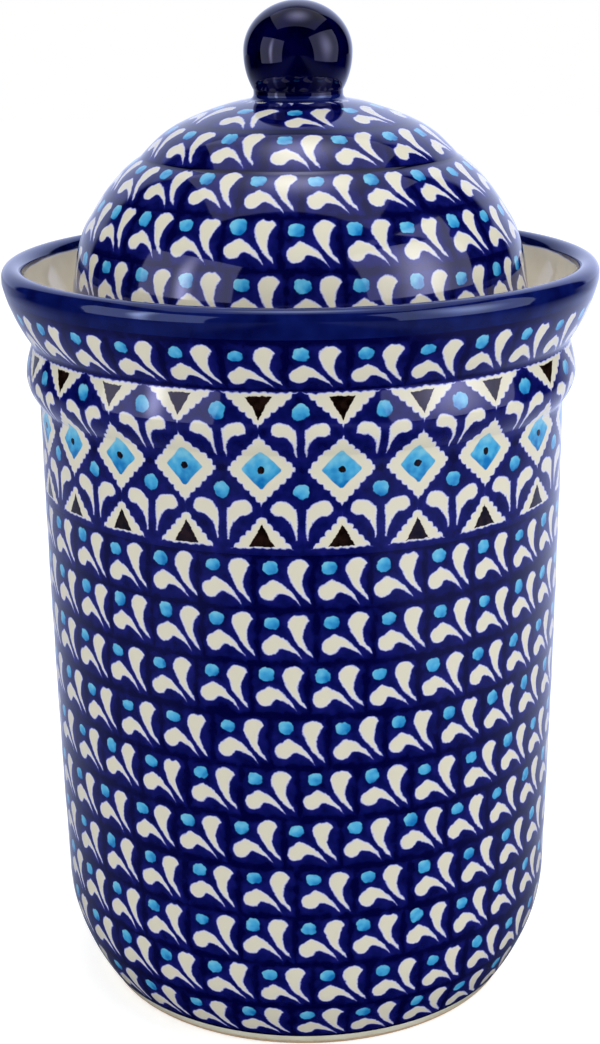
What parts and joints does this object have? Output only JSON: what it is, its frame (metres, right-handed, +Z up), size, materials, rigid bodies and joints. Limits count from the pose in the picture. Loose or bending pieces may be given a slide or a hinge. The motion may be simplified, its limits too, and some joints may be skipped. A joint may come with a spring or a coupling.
{
  "type": "kitchen canister",
  "caption": "Straight-sided stoneware canister with a rounded base, ring band and flared lip; its domed, tiered lid with a ball knob drops into a gallery inside the mouth.",
  "frame": {"origin": "middle of the foot ring's bearing face, on the surface that the canister stands on", "axes": "+Z up along the axis of turning; +X and +Y are alike, because the form is round; the camera of the picture looks along +Y"},
  "size_m": [0.1706, 0.1706, 0.2902],
  "materials": {
    "jar_glaze": "glossy clear glaze over cobalt, cream, pale blue and black stamped underglaze; cream inside; foot ring bare",
    "lid_glaze": "glossy clear glaze over cobalt, cream and pale blue stamped underglaze; cream inside; seat and collar end bare",
    "knob_glaze": "glossy clear glaze over solid dark cobalt"
  },
  "bodies": {
    "jar": {"jar": "jar_glaze"},
    "lid": {"lid": "lid_glaze", "knob": "knob_glaze"}
  },
  "joints": [
    {"name": "lid_lift", "type": "slide", "parent": "jar", "child": "lid", "axis": [0, 0, 1], "range_m": [0, 0.12]}
  ]
}
